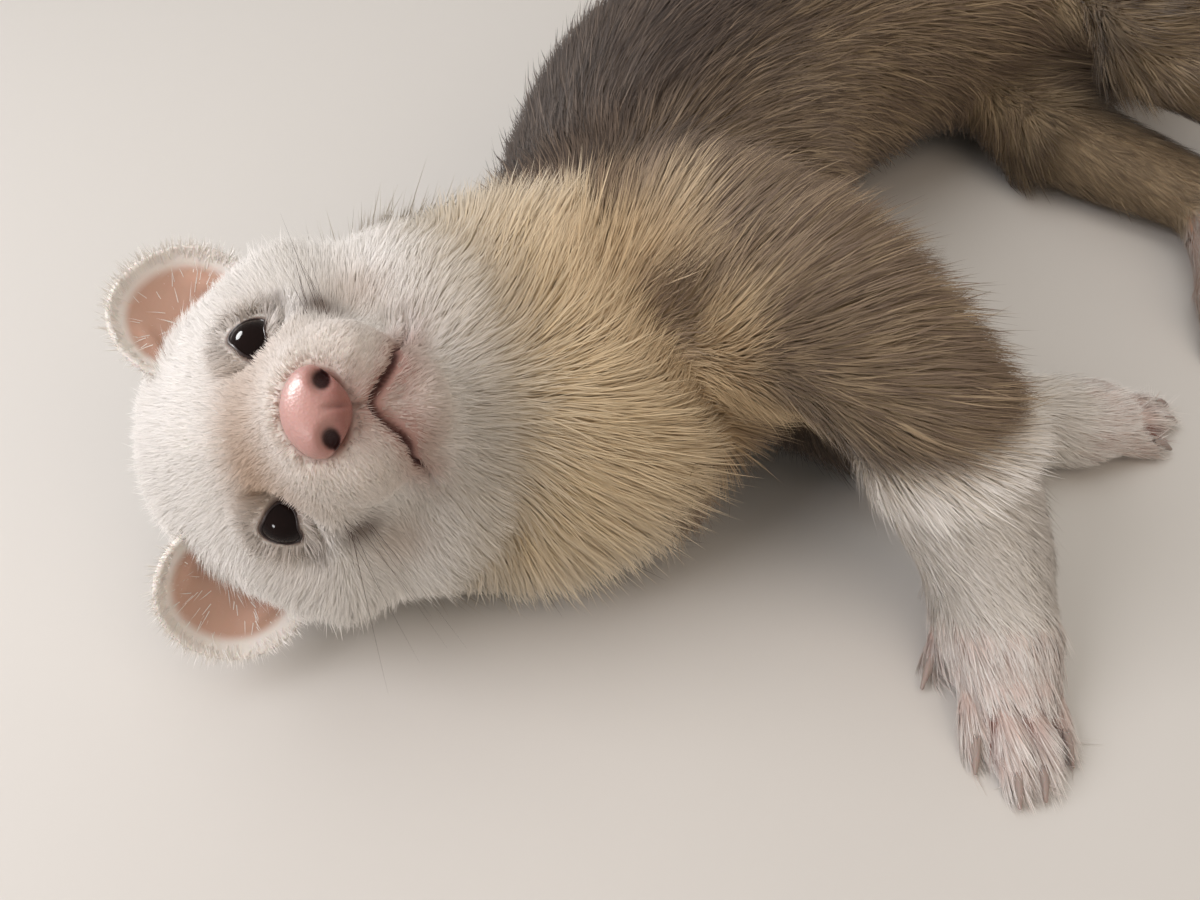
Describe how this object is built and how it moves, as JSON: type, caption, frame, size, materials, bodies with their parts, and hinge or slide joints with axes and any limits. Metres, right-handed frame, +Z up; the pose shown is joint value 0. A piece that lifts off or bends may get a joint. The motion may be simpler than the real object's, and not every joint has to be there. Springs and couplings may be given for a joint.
{
  "type": "ferret",
  "caption": "Life-size still model of a ferret that lies on its side, curved, one forepaw put down before its chest, its head turned up",
  "frame": {"origin": "on the floor, under the middle of the animal's bounding box", "axes": "+Z up; +X along the animal's greatest length, from the side of its head to the side of its tail; +Y away from the viewer"},
  "size_m": [0.3352, 0.2428, 0.0693],
  "materials": {
    "white_coat": "short white fur",
    "cream_coat": "cream underfur with pale tips",
    "silver_coat": "cream underfur under grey-brown guard hair",
    "dark_coat": "dark grey-brown guard hair",
    "ear_skin": "thin pink skin with fine hair",
    "nose_skin": "moist pink skin",
    "eye": "wet, near-black",
    "claw": "pale horn"
  },
  "bodies": {
    "root": {"belly": "silver_coat", "chest": "silver_coat", "claw_fore_left_1": "claw", "claw_fore_left_2": "claw", "claw_fore_left_3": "claw", "claw_fore_left_4": "claw", "claw_fore_left_5": "claw", "claw_fore_right_1": "claw", "claw_fore_right_2": "claw", "claw_fore_right_3": "claw", "claw_fore_right_4": "claw", "claw_fore_right_5": "claw", "claw_hind_left_1": "claw", "claw_hind_left_2": "claw", "claw_hind_left_3": "claw", "claw_hind_left_4": "claw", "claw_hind_left_5": "claw", "claw_hind_right_1": "claw", "claw_hind_right_2": "claw", "claw_hind_right_3": "claw", "claw_hind_right_4": "claw", "claw_hind_right_5": "claw", "ear_left": "ear_skin", "ear_right": "ear_skin", "eye_left": "eye", "eye_right": "eye", "forearm_left": "white_coat", "forearm_right": "white_coat", "forepaw_left": "white_coat", "forepaw_right": "white_coat", "head": "white_coat", "hindpaw_left": "white_coat", "hindpaw_right": "white_coat", "neck": "cream_coat", "nose": "nose_skin", "rump": "silver_coat", "shank_left": "silver_coat", "shank_right": "silver_coat", "tail_root": "dark_coat", "tail_tip": "dark_coat", "thigh_left": "silver_coat", "thigh_right": "silver_coat", "upper_arm_left": "silver_coat", "upper_arm_right": "silver_coat"}
  },
  "joints": []
}
